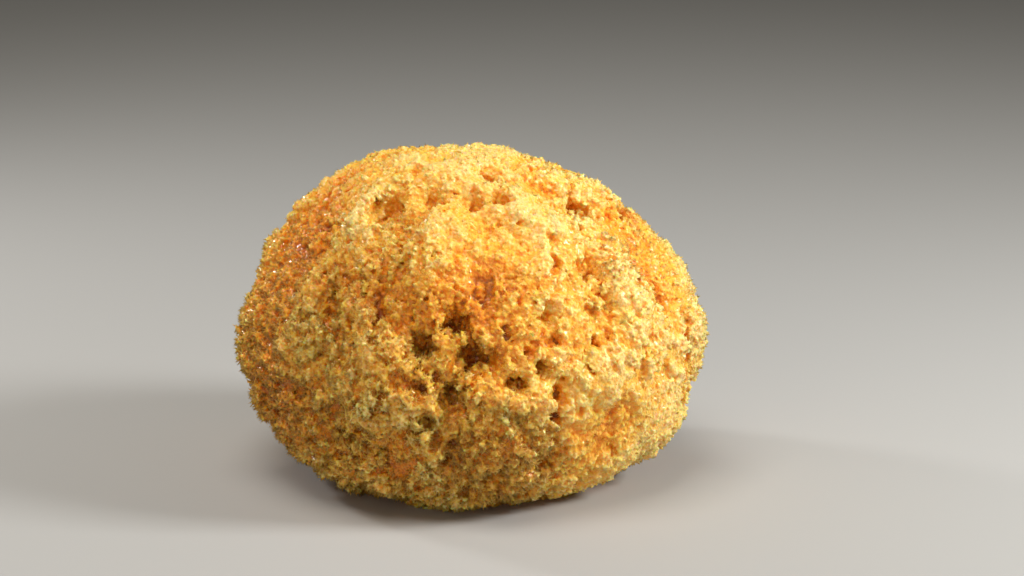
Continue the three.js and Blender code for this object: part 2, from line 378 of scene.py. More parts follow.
@dataclass
class SpongeBody:
    """The sponge's own mass, with its lobes, columns, florets, granules, pores and channels.

    A blend is how far apart two shapes still run into each other. Where there are two, the second is
    how much of it goes where the skin is rugged.
    """

    step: float = 0.46
    margin: float = 3.0
    hull_step: float = 1.0
    hull_band: int = 16
    heart_height: float = 38.0
    surface_search: Range = (20.0, 90.0)
    lobe_size: float = 11.0
    lobe_rise: float = 0.6
    lump_size: float = 4.5
    lump_rise: float = 0.4
    inset: float = 0.8
    fold_turn: float = 9.0
    fold_climb: float = 26.0
    fold_rise: float = 0.7
    chart_step: float = 0.25
    crease_turn: float = 7.5
    crease_climb: float = 26.0
    crease_width: float = 0.3
    crease_depth: float = 1.2
    crease_patch: float = 14.0
    fill: float = 1.8
    broad_reach: int = 9
    snug_gap: float = 0.5
    loose_gap: float = 2.1
    loose_patch: float = 13.0
    rugged_patch: float = 15.0
    feather_patch: float = 13.0
    feather_lobe: Range = (7.0, 20.0)
    feather_lobe_reach: Range = (12.0, 24.0)
    floret_spacing: float = 2.7
    floret_radius: Range = (1.2, 2.1)
    floret_depth: Range = (0.7, 2.9)
    floret_blend: Range = (2.4, 1.8)
    granule_spacing: float = 0.95
    granule_radius: Range = (0.42, 0.68)
    granule_room: float = 0.2
    granule_range: Range = (-0.5, 0.2)
    granule_blend: Range = (0.35, 0.2)
    small_pore: float = 2.6
    small_pore_room: float = 0.6
    pore_reach: float = 0.68
    pore_wobble: float = 0.45
    pore_blend: float = 0.8
    wild_pores: int = 150
    wild_width: Range = (2.0, 3.4)
    wild_depth: Range = (0.8, 1.5)
    rear_widening: float = 2.2
    channel_size: float = 3.4
    channel_width: float = 0.36
    channel_depth: float = 5.0
    channel_blend: float = 0.6
    wobble_sizes: Range = (1.9, 3.4)
    skin_wobble: float = 0.1
    cut_band: float = 0.3
    border_sway: float = 4.0
    most_triangles: int = 780_000
    seed: int = 7
    lattice: Lattice = field(init=False)
    hull: np.ndarray = field(init=False)
    shell: np.ndarray = field(init=False)
    skin: np.ndarray = field(init=False)
    smooth: np.ndarray = field(init=False)
    feather: np.ndarray = field(init=False)
    mesh: Skin = field(init=False)

    def __post_init__(self) -> None:
        """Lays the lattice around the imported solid."""
        low, high = (np.array(corner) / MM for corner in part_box(NODE))
        low, high = low - self.margin, high + self.margin
        low[2] = -2 * self.step
        counts = np.ceil((high - low) / self.step).astype(int)
        self.lattice = Lattice(tuple(low.tolist()), self.step, tuple(counts.tolist()))

    def solid_sides(self) -> tuple[np.ndarray, np.ndarray]:
        """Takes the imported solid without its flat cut, and adds its mirror image below it.

        Returns:
            The corners in millimetres, and the triangles between them.
        """
        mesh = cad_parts[NODE].data
        mesh.calc_loop_triangles()
        corners = np.empty(len(mesh.vertices) * 3, np.float32)
        mesh.vertices.foreach_get("co", corners)
        corners = corners.reshape(-1, 3) / MM
        triangles = np.empty(len(mesh.loop_triangles) * 3, np.int32)
        mesh.loop_triangles.foreach_get("vertices", triangles)
        triangles = triangles.reshape(-1, 3)
        sides = triangles[(corners[triangles, 2] > 0.01).any(1)]
        mirrored = corners * np.array((1, 1, -1), np.float32)
        both = np.concatenate((sides, sides[:, ::-1] + len(corners)))
        return np.concatenate((corners, mirrored)), both.astype(np.uint32)

    def measure_hull(self) -> None:
        """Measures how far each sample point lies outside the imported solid's sides."""
        corners, triangles = self.solid_sides()
        spread = openvdb.createLinearTransform(voxelSize=self.hull_step)
        level = openvdb.FloatGrid.createLevelSetFromPolygons(
            corners, triangles=triangles, transform=spread, halfWidth=self.hull_band
        )
        low = np.floor(np.array(self.lattice.low) / self.hull_step).astype(int) - 1
        ends = [self.lattice.line(axis)[-1] for axis in range(3)]
        high = np.ceil(np.array(ends) / self.hull_step).astype(int) + 3
        coarse = np.empty(high - low, np.float32)
        level.copyToArray(coarse, ijk=tuple(low.tolist()))
        rows = []
        for axis in range(3):
            start = (low[axis] + 1) * self.hull_step
            weights = spline_weights(self.lattice.line(axis), start, self.hull_step)
            short = coarse.shape[axis] - weights.shape[1]
            rows.append(np.pad(weights, ((0, 0), (0, max(short, 0))))[:, : coarse.shape[axis]])
        self.hull = blend_up(coarse, rows)

    def heart(self) -> np.ndarray:
        """Returns the point that the sponge grew out from."""
        return np.array((0.0, 0.0, self.heart_height))

    def surface_along(self, way: np.ndarray) -> np.ndarray:
        """Finds where a straight line from the sponge's heart comes out of the solid.

        Args:
            way: the direction of the line.

        Returns:
            The point on the surface.
        """
        away = np.arange(*self.surface_search, self.step / 2)
        points = self.heart() + away[:, None] * way
        outside = self.lattice.read(self.shell, points) > 0
        return points[np.argmax(outside)]

    def carve_pore(self, pore: Pore, wobble: np.ndarray) -> None:
        """Opens one pore in the skin.

        Args:
            pore: the pore's place, width and depth.
            wobble: the unevenness of its wall.
        """
        way = facing(pore.turn, pore.rise)
        mouth = self.surface_along(way)
        radius, reach = pore.width / 2, pore.width * self.pore_reach * pore.depth
        span = max(radius, reach) * 1.5 + 1
        near = []
        for axis in range(3):
            first = int((mouth[axis] - span - self.lattice.low[axis]) / self.step)
            last = int((mouth[axis] + span - self.lattice.low[axis]) / self.step)
            near.append(slice(max(first, 0), max(last, 0)))
        window = tuple(near)
        x, y, z = (self.lattice.line(axis)[near[axis]] - mouth[axis] for axis in range(3))
        x, y, z = x[:, None, None], y[None, :, None], z[None, None, :]
        inward = -(x * way[0] + y * way[1] + z * way[2])
        aside = np.sqrt(np.maximum(x * x + y * y + z * z - inward * inward, 0))
        bowl = np.sqrt((aside / radius) ** 2 + (inward / reach) ** 2)
        bowl = (bowl - 1 + self.pore_wobble * wobble[window]) * min(radius, reach)
        self.skin[window] = softer_max(self.skin[window], -bowl, self.pore_blend)

    def all_pores(self, rng: Rng) -> list[Pore]:
        """Lists the pores of the front and of the crevices, then scatters more all over.

        Args:
            rng: the source of chance.

        Returns:
            The pores.
        """
        pores = []
        clefts = [pore for crevice in CREVICES for pore in crevice.pores()]
        for pore in (*FRONT_PORES, *clefts):
            room = self.small_pore_room if pore.width < self.small_pore else self.granule_room
            pores.append(replace(pore, width=pore.width + room))
        for _ in range(self.wild_pores):
            turn = rng.uniform(-180, 180)
            rise = math.degrees(math.asin(rng.uniform(-0.5, 1)))
            width = rng.uniform(*self.wild_width)
            width += (abs(turn) > 80) * rng.choice((0, 0, self.rear_widening))
            pores.append(Pore(turn, rise, width, rng.uniform(*self.wild_depth)))
        return pores

    def grow_skin(self) -> None:
        """Works out the detailed skin: below 0 is sponge and above 0 is air."""
        rng = np.random.default_rng(self.seed)
        lattice, z = self.lattice, self.lattice.places()[2]
        self.measure_hull()
        broad = lattice.blur(lattice.blur(self.hull, self.broad_reach), self.broad_reach)
        self.hull = np.minimum(self.hull, broad + self.fill)
        self.shell = np.minimum(self.hull, broad)
        outline = self.hull + self.inset - self.lobe_rise * lattice.drift(self.lobe_size, rng)
        outline -= self.lump_rise * lattice.drift(self.lump_size, rng)
        flank = 1 - self.strongest((CROWN,))
        outline -= flank * self.fold_rise * self.columns(self.fold_turn, self.fold_climb, rng)
        outline += flank * self.creases(rng)
        loose = self.loose_zone(rng)
        rugged = self.rugged_zone(loose, rng)
        fine, coarse = self.wobble_sizes
        wobble = lattice.drift(fine, rng) + 0.8 * lattice.drift(coarse, rng)
        self.skin = outline + self.snug_gap + (self.loose_gap - self.snug_gap) * loose
        self.grow_florets(outline, rugged, rng)
        for pore in self.all_pores(rng):
            self.carve_pore(pore, wobble)
        self.open_channels(loose, rng)
        self.grow_granules(rugged, rng)
        self.skin += self.skin_wobble * wobble
        self.skin = np.maximum(self.skin, -z)
        self.smooth = lattice.blur(lattice.blur(self.skin, 2), 1)
        self.feather = self.feather_zone(rng)

    def columns(self, turn: float, climb: float, rng: Rng) -> np.ndarray:
        """Makes smooth random variation in upright columns that run down from the crown.

        Args:
            turn: how far apart the columns are around the sponge, in degrees.
            climb: how long they are, in degrees up its side.
            rng: the source of chance.

        Returns:
            A value for each sample point, with a mean of about 0 and a spread of 1.
        """
        fine = self.chart_step
        turns, climbs = np.arange(0, 360, fine), np.arange(0, 180, fine)
        around, upward = spline_weights(turns, 0, turn), spline_weights(climbs, 0, climb)
        coarse = rng.standard_normal((around.shape[1], upward.shape[1]))
        coarse[-3:] = coarse[:3]
        chart = around @ coarse @ upward.T
        chart = (chart / chart.std()).astype(np.float32)
        x, y, z = self.lattice.places()
        way = np.degrees(np.arctan2(x, -y)) + 180
        rise = np.degrees(np.arctan2(z - self.heart_height, np.sqrt(x * x + y * y))) + 90
        column = np.minimum(way / fine, len(turns) - 1).astype(int)
        row = np.minimum(rise / fine, len(climbs) - 1).astype(int)
        return chart[column, row]

    def creases(self, rng: Rng) -> np.ndarray:
        """Works out the winding upright creases that part the skin into columns.

        Args:
            rng: the source of chance.

        Returns:
            How deep the skin is creased at each sample point.
        """
        across = self.columns(self.crease_turn, self.crease_climb, rng) / self.crease_width
        patches = ease(self.lattice.drift(self.crease_patch, rng), -1.0, 0.8)
        return self.crease_depth * patches * np.exp(-across * across)

    def grow_florets(self, outline: np.ndarray, rugged: np.ndarray, rng: Rng) -> None:
        """Crowds the skin with round florets of uneven size and height.

        Args:
            outline: how far each sample point lies outside the sponge's outline.
            rugged: how rugged the skin is.
            rng: the source of chance.
        """
        centres = self.lattice.scatter(self.floret_spacing, rng)
        depth = -self.lattice.read(outline, centres)
        kept = (depth > self.floret_depth[0]) & (depth < self.floret_depth[1])
        centres, depth = centres[kept], depth[kept]
        radii = np.minimum(rng.uniform(*self.floret_radius, len(centres)), depth + 0.1)
        tall = 1 + UPRIGHT.strength * self.lattice.read(self.nearness(UPRIGHT), centres)
        lumps = self.lattice.balls(centres, radii, tall)
        soft, firmer = self.floret_blend
        self.skin = -softer_max(-self.skin, -lumps, soft - firmer * rugged)

    def grow_granules(self, rugged: np.ndarray, rng: Rng) -> None:
        """Covers every surface, the pores' walls too, with small round granules.

        Args:
            rugged: how rugged the skin is.
            rng: the source of chance.
        """
        centres = self.lattice.scatter(self.granule_spacing, rng)
        outside = self.lattice.read(self.skin, centres)
        roughness = self.lattice.read(rugged, centres)
        lowest, highest = self.granule_range
        centres = centres[(outside > lowest) & (outside < highest * roughness)]
        radii = rng.uniform(*self.granule_radius, len(centres))
        grains = self.lattice.balls(centres, radii, np.ones(len(centres)))
        soft, firmer = self.granule_blend
        self.skin = -softer_max(-self.skin - self.granule_room, -grains, soft - firmer * rugged)

    def nearness(self, zone: Zone) -> np.ndarray:
        """Works out how near sample points are to the middle of a zone.

        Args:
            zone: the zone.

        Returns:
            A share from 0, outside it, to 1, in its middle.
        """
        x, y, z = self.lattice.places()
        way = facing(zone.turn, zone.rise).astype(np.float32)
        z = z - self.heart_height
        along = x * way[0] + y * way[1] + z * way[2]
        along = along / np.sqrt(x * x + y * y + z * z + 1)
        edge, full = math.radians(zone.reach), math.radians(zone.reach / 3)
        return ease(along, math.cos(edge), math.cos(full))

    def strongest(self, zones: tuple[Zone, ...]) -> np.ndarray:
        """Returns the strength of the strongest of these zones at each sample point."""
        return np.maximum.reduce([zone.strength * self.nearness(zone) for zone in zones])

    def loose_zone(self, rng: Rng) -> np.ndarray:
        """Works out where the skin is loose and crumbly, with deep gaps.

        Args:
            rng: the source of chance.

        Returns:
            A share from 0, snug, to 1, loose, for each sample point.
        """
        patches = 0.8 * ease(self.lattice.drift(self.loose_patch, rng), 0.2, 1.6)
        return np.maximum(patches, self.strongest(LOOSE))

    def rugged_zone(self, loose: np.ndarray, rng: Rng) -> np.ndarray:
        """Works out how rugged the skin is: soft on the right and the crown, rugged on the front.

        Args:
            loose: where the skin is loose.
            rng: the source of chance.

        Returns:
            A share from 0, soft, to 1, rugged, for each sample point.
        """
        patches = 0.3 + 0.5 * ease(self.lattice.drift(self.rugged_patch, rng), -1.2, 1.2)
        return np.clip(np.maximum.reduce([patches, self.strongest(RUGGED), loose]), 0, 1)

    def feather_zone(self, rng: Rng) -> np.ndarray:
        """Works out where the tips are long and feathery: low on the front and left, and in patches.

        Args:
            rng: the source of chance.

        Returns:
            A share from 0, blunt, to 1, feathery, for each sample point.
        """
        x, y, z = self.lattice.places()
        middle_x, middle_z = self.feather_lobe
        full, edge = self.feather_lobe_reach
        apart = np.sqrt((x - middle_x) ** 2 + (z - middle_z) ** 2) + (y > 0) * 99
        patches = ease(self.lattice.drift(self.feather_patch, rng), 0.3, 1.5)
        return np.maximum.reduce([ease(-apart, -edge, -full), 0.35 * patches, self.strongest(FEATHERY)])

    def open_channels(self, loose: np.ndarray, rng: Rng) -> None:
        """Cuts the net of fine channels that runs close under the skin.

        Args:
            loose: where the skin is loose.
            rng: the source of chance.
        """
        lattice, z = self.lattice, self.lattice.places()[2]
        one, two = (lattice.drift(self.channel_size, rng) for _ in range(2))
        depth = np.minimum(-self.hull, z)
        openness = 0.35 + 0.65 * loose
        width = self.channel_width * openness * (1 - ease(depth, 1.0, self.channel_depth))
        channel = (width - np.sqrt(one * one + two * two)) * self.channel_size * 0.8
        channel -= 9 * ease(depth, self.channel_depth - 2, self.channel_depth + 2)
        self.skin = softer_max(self.skin, channel, self.channel_blend)

    def write_stains_and_painted_light(self, mesh: bpy.types.Mesh, corners: np.ndarray) -> None:
        """Stores how much darker or paler each part of the sponge is, partly as real stains and partly as
        painted light and shade, and how rusty.

        Args:
            mesh: the mesh to store it on.
            corners: its corners in millimetres.
        """
        ways = corners - self.heart()
        ways /= np.linalg.norm(ways, axis=1)[:, None]
        for name, zones in (("stain_and_painted_light", STAINS_AND_PAINTED_LIGHT), ("rust", RUSTS)):
            total = np.zeros(len(corners))
            for zone in zones:
                along = np.clip(ways @ facing(zone.turn, zone.rise), -1, 1)
                apart = np.degrees(np.arccos(along))
                total += zone.strength * ease(-apart, -zone.reach, -zone.reach / 4)
            write_values(mesh, name, total)

    def mesh_skin(self) -> tuple[np.ndarray, list[np.ndarray]]:
        """Turns the skin into faces.

        Returns:
            The corners in millimetres, then the faces of three and of four corners.
        """
        limit = 3 * self.step
        level = openvdb.FloatGrid(limit)
        level.transform = openvdb.createLinearTransform(voxelSize=self.step)
        level.copyFromArray(np.clip(self.skin, -limit, limit).astype(np.float32))
        corners, threes, fours = level.convertToPolygons()
        return corners + np.array(self.lattice.low, np.float32), [threes, fours]

    def build(self) -> list[bpy.types.Object]:
        """Builds the body, as one closed skin that is shared out between four pieces.

        Returns:
            The pieces, one for each side.
        """
        self.grow_skin()
        corners, (threes, fours) = self.mesh_skin()
        faces = np.concatenate((threes, fours[:, [0, 1, 2]], fours[:, [0, 2, 3]]))
        corners, faces = drop_loose_bits(corners, faces)
        log.info("skin meshed: %d triangles", len(faces))
        corners, faces = thin_mesh(corners, faces, self.most_triangles)
        corners[corners[:, 2] < self.cut_band, 2] = 0
        normals = corner_normals(corners, faces)
        self.mesh = Skin(corners, faces, normals)
        depth = -self.lattice.read(self.shell, corners)
        raised = self.lattice.read(self.smooth, corners)
        turn = np.degrees(np.arctan2(corners[:, 0], -corners[:, 1]))
        turn = turn + self.border_sway * np.sin(corners[:, 2] / 5)
        first_border = Side.LEFT.value - 45
        order = np.argsort((turn[faces[:, 0]] - first_border) % 360, kind="stable")
        pieces = []
        for side, share in zip(Side, np.array_split(order, len(Side))):
            used, places = np.unique(faces[share], return_inverse=True)
            piece = new_piece(f"sponge_{side.name.lower()}", corners[used] * MM, places.reshape(-1, 3))
            piece.data.normals_split_custom_set_from_vertices(normals[used])
            write_values(piece.data, "depth", depth[used])
            write_values(piece.data, "raised", raised[used])
            self.write_stains_and_painted_light(piece.data, corners[used])
            lay_flat(piece.data, corners[used] - self.heart(), facing(side.value, 0))
            pieces.append(piece)
        return pieces


# ------------------------------------------------------------------------------- making meshes


def corners_of(mesh: bpy.types.Mesh) -> np.ndarray:
    """Returns the places of a mesh's corners, one a row."""
    corners = np.empty(len(mesh.vertices) * 3)
    mesh.vertices.foreach_get("co", corners)
    return corners.reshape(-1, 3)


def drop_loose_bits(corners: np.ndarray, faces: np.ndarray) -> tuple[np.ndarray, np.ndarray]:
    """Keeps only the largest connected shell, so that no crumb floats free.

    Args:
        corners: the corners of the mesh.
        faces: its triangles.

    Returns:
        The corners and triangles that are kept.
    """
    label = np.arange(len(corners))
    edges = np.concatenate((faces[:, :2], faces[:, 1:], faces[:, ::2])).astype(int)
    while True:
        low = np.minimum(label[edges[:, 0]], label[edges[:, 1]])
        fresh = label.copy()
        np.minimum.at(fresh, edges[:, 0], low)
        np.minimum.at(fresh, edges[:, 1], low)
        fresh = fresh[fresh]
        if (fresh == label).all():
            break
        label = fresh
    main = np.bincount(label).argmax()
    kept = label == main
    renumber = np.cumsum(kept) - 1
    return corners[kept], renumber[faces[kept[faces[:, 0]]]]


def new_piece(name: str, corners: np.ndarray, faces: np.ndarray) -> bpy.types.Object:
    """Makes a smooth-shaded object out of triangles.

    Args:
        name: the piece's name.
        corners: its corners in metres.
        faces: its triangles.

    Returns:
        The object, linked to the scene.
    """
    mesh = bpy.data.meshes.new(name)
    mesh.vertices.add(len(corners))
    mesh.vertices.foreach_set("co", np.ascontiguousarray(corners, np.float32).ravel())
    mesh.loops.add(len(faces) * 3)
    mesh.loops.foreach_set("vertex_index", np.ascontiguousarray(faces, np.int32).ravel())
    mesh.polygons.add(len(faces))
    mesh.polygons.foreach_set("loop_start", np.arange(0, len(faces) * 3, 3, dtype=np.int32))
    mesh.update(calc_edges=True)
    mesh.shade_smooth()
    piece = bpy.data.objects.new(name, mesh)
    bpy.context.scene.collection.objects.link(piece)
    return piece


def thin_mesh(corners: np.ndarray, faces: np.ndarray, most: int) -> tuple[np.ndarray, np.ndarray]:
    """Drops triangles where they add least, mostly from the flat cut.

    Args:
        corners: the corners of the mesh.
        faces: its triangles.
        most: how many triangles to keep.

    Returns:
        The corners and triangles that are kept.
    """
    piece = new_piece("whole", corners, faces)
    thinner = piece.modifiers.new("thinner", "DECIMATE")
    thinner.ratio = min(1.0, most / len(faces))
    evaluated = piece.evaluated_get(bpy.context.evaluated_depsgraph_get())
    mesh = evaluated.to_mesh()
    kept_corners = corners_of(mesh)
    kept = np.empty(len(mesh.loops), np.int32)
    mesh.loops.foreach_get("vertex_index", kept)
    evaluated.to_mesh_clear()
    bpy.data.objects.remove(piece)
    return kept_corners, kept.reshape(-1, 3)


def corner_normals(corners: np.ndarray, faces: np.ndarray) -> np.ndarray:
    """Works out the outward direction at each corner of a whole mesh.

    Args:
        corners: the corners of the mesh.
        faces: its triangles.

    Returns:
        A unit direction for each corner.
    """
    one, two, three = (corners[faces[:, i]] for i in range(3))
    across = np.cross(two - one, three - one)
    normals = np.zeros_like(corners)
    for i in range(3):
        for axis in range(3):
            normals[:, axis] += np.bincount(faces[:, i], across[:, axis], len(corners))
    return normals / np.maximum(np.linalg.norm(normals, axis=1), 1e-9)[:, None]


def write_values(mesh: bpy.types.Mesh, name: str, values: np.ndarray) -> None:
    """Stores one number for each corner of a mesh, for its finish to read."""
    store = mesh.attributes.new(name, "FLOAT", "POINT")
    store.data.foreach_set("value", np.ascontiguousarray(values, np.float32))


def lay_flat(mesh: bpy.types.Mesh, corners: np.ndarray, middle: np.ndarray) -> None:
    """Lays a mesh out flat, evenly by area, as it is seen from the sponge's heart.

    Args:
        mesh: the mesh that gets the flat layout.
        corners: its corners, measured from the heart.
        middle: the direction that comes to the middle of the layout.
    """
    ways = corners / np.linalg.norm(corners, axis=1)[:, None]
    aid = np.array((0.0, 0.0, 1.0)) if abs(middle[2]) < 0.8 else np.array((1.0, 0.0, 0.0))
    across = np.cross(aid, middle)
    across /= np.linalg.norm(across)
    upward = np.cross(middle, across)
    spread = np.sqrt(2 / np.maximum(1 + ways @ middle, 1e-4))
    flat = np.stack((ways @ across, ways @ upward), 1) * spread[:, None]
    low, high = flat.min(0), flat.max(0)
    flat = (flat - low) / (high - low)
    loops = np.empty(len(mesh.loops), np.int32)
    mesh.loops.foreach_get("vertex_index", loops)
    layout = mesh.uv_layers.new(name="OFBake")
    layout.data.foreach_set("uv", np.ascontiguousarray(flat[loops], np.float32).ravel())


# ------------------------------------------------------------------------------- the fibre tips


@dataclass
class FibreTips:
    """The fine pointed fibre tips that stand out of the granules."""

    body: SpongeBody
    most_triangles: int = 190_000
    sunk: float = 0.25
    blunt_length: Range = (0.45, 0.8)
    blunt_width: Range = (0.45, 0.7)
    feather_length: Range = (0.9, 1.6)
    feather_width: Range = (0.4, 0.6)
    splay: float = 0.4
    roundness: float = 0.6
    paleness: Range = (0.1, 0.9)
    paleness_range: Range = (0.4, 1.0)
    foot_painted_shade: float = -0.8
    tip_painted_highlight: float = 1.3
    evenness: float = 0.25
    bare_hollow: float = 0.35
    bare_band: float = 0.3
    bare_underside: float = 0.98
    shallow: float = 3.0
    deepest: float = 8.0
    seed: int = 31

    def roots(self, rng: Rng) -> tuple[np.ndarray, np.ndarray]:
        """Scatters the tips over the skin, most thickly where it is feathery.

        Args:
            rng: the source of chance.

        Returns:
            The root points in millimetres and the outward directions there.
        """
        skin = self.body.mesh
        triangles = skin.corners[skin.faces]
        across = np.cross(triangles[:, 1] - triangles[:, 0], triangles[:, 2] - triangles[:, 0])
        area = np.linalg.norm(across, axis=1) / 2
        middle = triangles.mean(1)
        depth = -self.body.lattice.read(self.body.shell, middle)
        feather = self.body.lattice.read(self.body.feather, middle)
        raised = self.body.lattice.read(self.body.smooth, middle)
        chance = area * (1 - ease(depth, self.shallow, self.deepest))
        chance = chance * (self.evenness + feather) * ease(raised, -self.bare_hollow, self.bare_hollow)
        faces_down = across[:, 2] <= -2 * self.bare_underside * area
        chance *= ~faces_down & (middle[:, 2] > self.bare_band)
        wanted = self.most_triangles // 4
        picked = rng.choice(len(area), wanted, p=chance / chance.sum())
        shares = rng.dirichlet((1, 1, 1), len(picked))
        roots = (triangles[picked] * shares[:, :, None]).sum(1)
        outward = (skin.normals[skin.faces[picked]] * shares[:, :, None]).sum(1)
        return roots, outward / np.linalg.norm(outward, axis=1)[:, None]

    def build(self) -> bpy.types.Object:
        """Builds the tips.

        Returns:
            The object that holds them.
        """
        rng = np.random.default_rng(self.seed)
        roots, outward = self.roots(rng)
        count = len(roots)
        feather = self.body.lattice.read(self.body.feather, roots)
        lean = rng.standard_normal((count, 3))
        lean -= (lean * outward).sum(1)[:, None] * outward
        base = roots - outward * self.sunk
        way = outward + lean * self.splay
        way /= np.linalg.norm(way, axis=1)[:, None]
        length = self.sunk + between(rng, count, self.blunt_length, self.feather_length, feather)
        width = between(rng, count, self.blunt_width, self.feather_width, feather)
        corners, faces = spikes(base, base + way * length[:, None], width, rng)
        corners[:, 2] = np.maximum(corners[:, 2], 0)
        piece = new_piece("fibre_tips", corners * MM, faces)
        around = corners - np.repeat(base, 4, 0)
        around /= np.maximum(np.linalg.norm(around, axis=1), 1e-6)[:, None]
        normals = np.repeat(outward, 4, 0) + self.roundness * around
        piece.data.normals_split_custom_set_from_vertices(normals)
        along = np.tile((0.0, 0.0, 0.0, 1.0), count)
        at_foot, gained = self.paleness
        uneven = np.repeat(rng.uniform(*self.paleness_range, count), 4)
        write_values(piece.data, "paleness", (at_foot + gained * along) * uneven)
        self.body.write_stains_and_painted_light(piece.data, corners)
        lay_flat(piece.data, corners - self.body.heart(), np.array((0.0, 0.0, 1.0)))
        write_values(piece.data, "depth", np.repeat(-self.body.lattice.read(self.body.shell, base), 4))
        # Painted shade and highlight: each tip's foot is read as sunken, so it takes the darker amber of
        # the hollows, and its point as raised, so it turns paler.
        raised = np.repeat(self.body.lattice.read(self.body.smooth, base), 4)
        write_values(piece.data, "raised", raised + self.foot_painted_shade + self.tip_painted_highlight * along)
        return piece


def between(rng: Rng, count: int, low: Range, high: Range, share: np.ndarray) -> np.ndarray:
    """Draws a size for each of many things from a range that shifts with a share.

    Args:
        rng: the source of chance.
        count: how many sizes to draw.
        low: the range where the share is 0.
        high: the range where the share is 1.
        share: where each thing stands between the two.

    Returns:
        The sizes.
    """
    least = low[0] + (high[0] - low[0]) * share
    most = low[1] + (high[1] - low[1]) * share
    return least + (most - least) * rng.uniform(0, 1, count)


def spikes(
    base: np.ndarray, tip: np.ndarray, width: np.ndarray, rng: Rng
) -> tuple[np.ndarray, np.ndarray]:
    """Makes a closed spike of four triangles for each fibre tip.

    Args:
        base: the middle of each spike's foot, in the body.
        tip: where each spike ends.
        width: how wide each foot is.
        rng: the source of chance.

    Returns:
        The corners and the triangles.
    """
    count = len(base)
    axis = tip - base
    axis /= np.linalg.norm(axis, axis=1)[:, None]
    aid = np.where(np.abs(axis[:, 2:]) < 0.8, (0, 0, 1), (1, 0, 0))
    one = np.cross(axis, aid)
    one /= np.linalg.norm(one, axis=1)[:, None]
    two = np.cross(axis, one)
    spin = rng.uniform(0, 2 * math.pi, count)
    corners = np.empty((count, 4, 3))
    for third in range(3):
        angle = (spin + third * 2 * math.pi / 3)[:, None]
        round_it = one * np.cos(angle) + two * np.sin(angle)
        corners[:, third] = base + round_it * width[:, None] / 2
    corners[:, 3] = tip
    pattern = np.array(((0, 2, 1), (0, 1, 3), (1, 2, 3), (2, 0, 3)))
    faces = (np.arange(count)[:, None, None] * 4 + pattern).reshape(-1, 3)
    return corners.reshape(-1, 3), faces


# ------------------------------------------------------------------------------------ finishes


class NodeSheet:
    """A short way to lay out and join a material's nodes."""

    def __init__(self, name: str) -> None:
        """Starts an empty material with one shader."""
        self.material = bpy.data.materials.new(name)
        self.material.use_nodes = True
        self.tree = self.material.node_tree
        self.shader = self.tree.nodes["Principled BSDF"]

    def add(self, kind: str, **settings: object) -> bpy.types.Node:
        """Adds a node and sets its properties."""
        node = self.tree.nodes.new(kind)
        for name, value in settings.items():
            setattr(node, name, value)
        return node

    def join(self, source: Socket, target: Socket) -> None:
        """Joins an output to an input."""
        self.tree.links.new(source, target)

    def stored(self, name: str) -> Socket:
        """Reads a number stored on the mesh."""
        return self.add("ShaderNodeAttribute", attribute_name=name).outputs["Fac"]

    def noise(self, size: float, detail: float) -> Socket:
        """Adds cloudy variation whose swells are about this many metres across."""
        place = self.add("ShaderNodeTexCoord").outputs["Object"]
        clouds = self.add("ShaderNodeTexNoise")
        clouds.inputs["Scale"].default_value = 1 / size
        clouds.inputs["Detail"].default_value = detail
        self.join(place, clouds.inputs["Vector"])
        return clouds.outputs["Fac"]

    def beads(self, size: float) -> Socket:
        """Adds a crowd of round beads about this many metres apart, highest at their middles."""
        place = self.add("ShaderNodeTexCoord").outputs["Object"]
        cells = self.add("ShaderNodeTexVoronoi", feature="SMOOTH_F1")
        cells.inputs["Scale"].default_value = 1 / size
        cells.inputs["Smoothness"].default_value = 0.3
        self.join(place, cells.inputs["Vector"])
        return self.spread(cells.outputs["Distance"], (0, 1), (1, 0))

    def spread(self, source: Socket, old: Range, new: Range) -> Socket:
        """Stretches a number from one range to another."""
        stretch = self.add("ShaderNodeMapRange")
        for name, value in zip(("From Min", "From Max", "To Min", "To Max"), (*old, *new)):
            stretch.inputs[name].default_value = value
        self.join(source, stretch.inputs["Value"])
        return stretch.outputs["Result"]

    def sum(self, one: Socket, two: Socket) -> Socket:
        """Adds two numbers."""
        plus = self.add("ShaderNodeMath", operation="ADD")
        self.join(one, plus.inputs[0])
        self.join(two, plus.inputs[1])
        return plus.outputs[0]

    def ramp(self, source: Socket, stops: list[tuple[float, Colour]]) -> Socket:
        """Turns a number from 0 to 1 into colour, by stops of a place and a colour."""
        colours = self.add("ShaderNodeValToRGB")
        elements = colours.color_ramp.elements
        while len(elements) < len(stops):
            elements.new(0.5)
        for element, (place, colour) in zip(elements, stops):
            element.position = place
            element.color = (*colour, 1)
        self.join(source, colours.inputs["Fac"])
        return colours.outputs["Color"]

    def tint(self, source: Socket, share: Socket, other: Colour) -> Socket:
        """Mixes a share of another, plain colour into a colour."""
        blend = self.add("ShaderNodeMix", data_type="RGBA")
        self.join(share, blend.inputs["Factor"])
        self.join(source, blend.inputs["A"])
        blend.inputs["B"].default_value = (*other, 1)
        return blend.outputs["Result"]


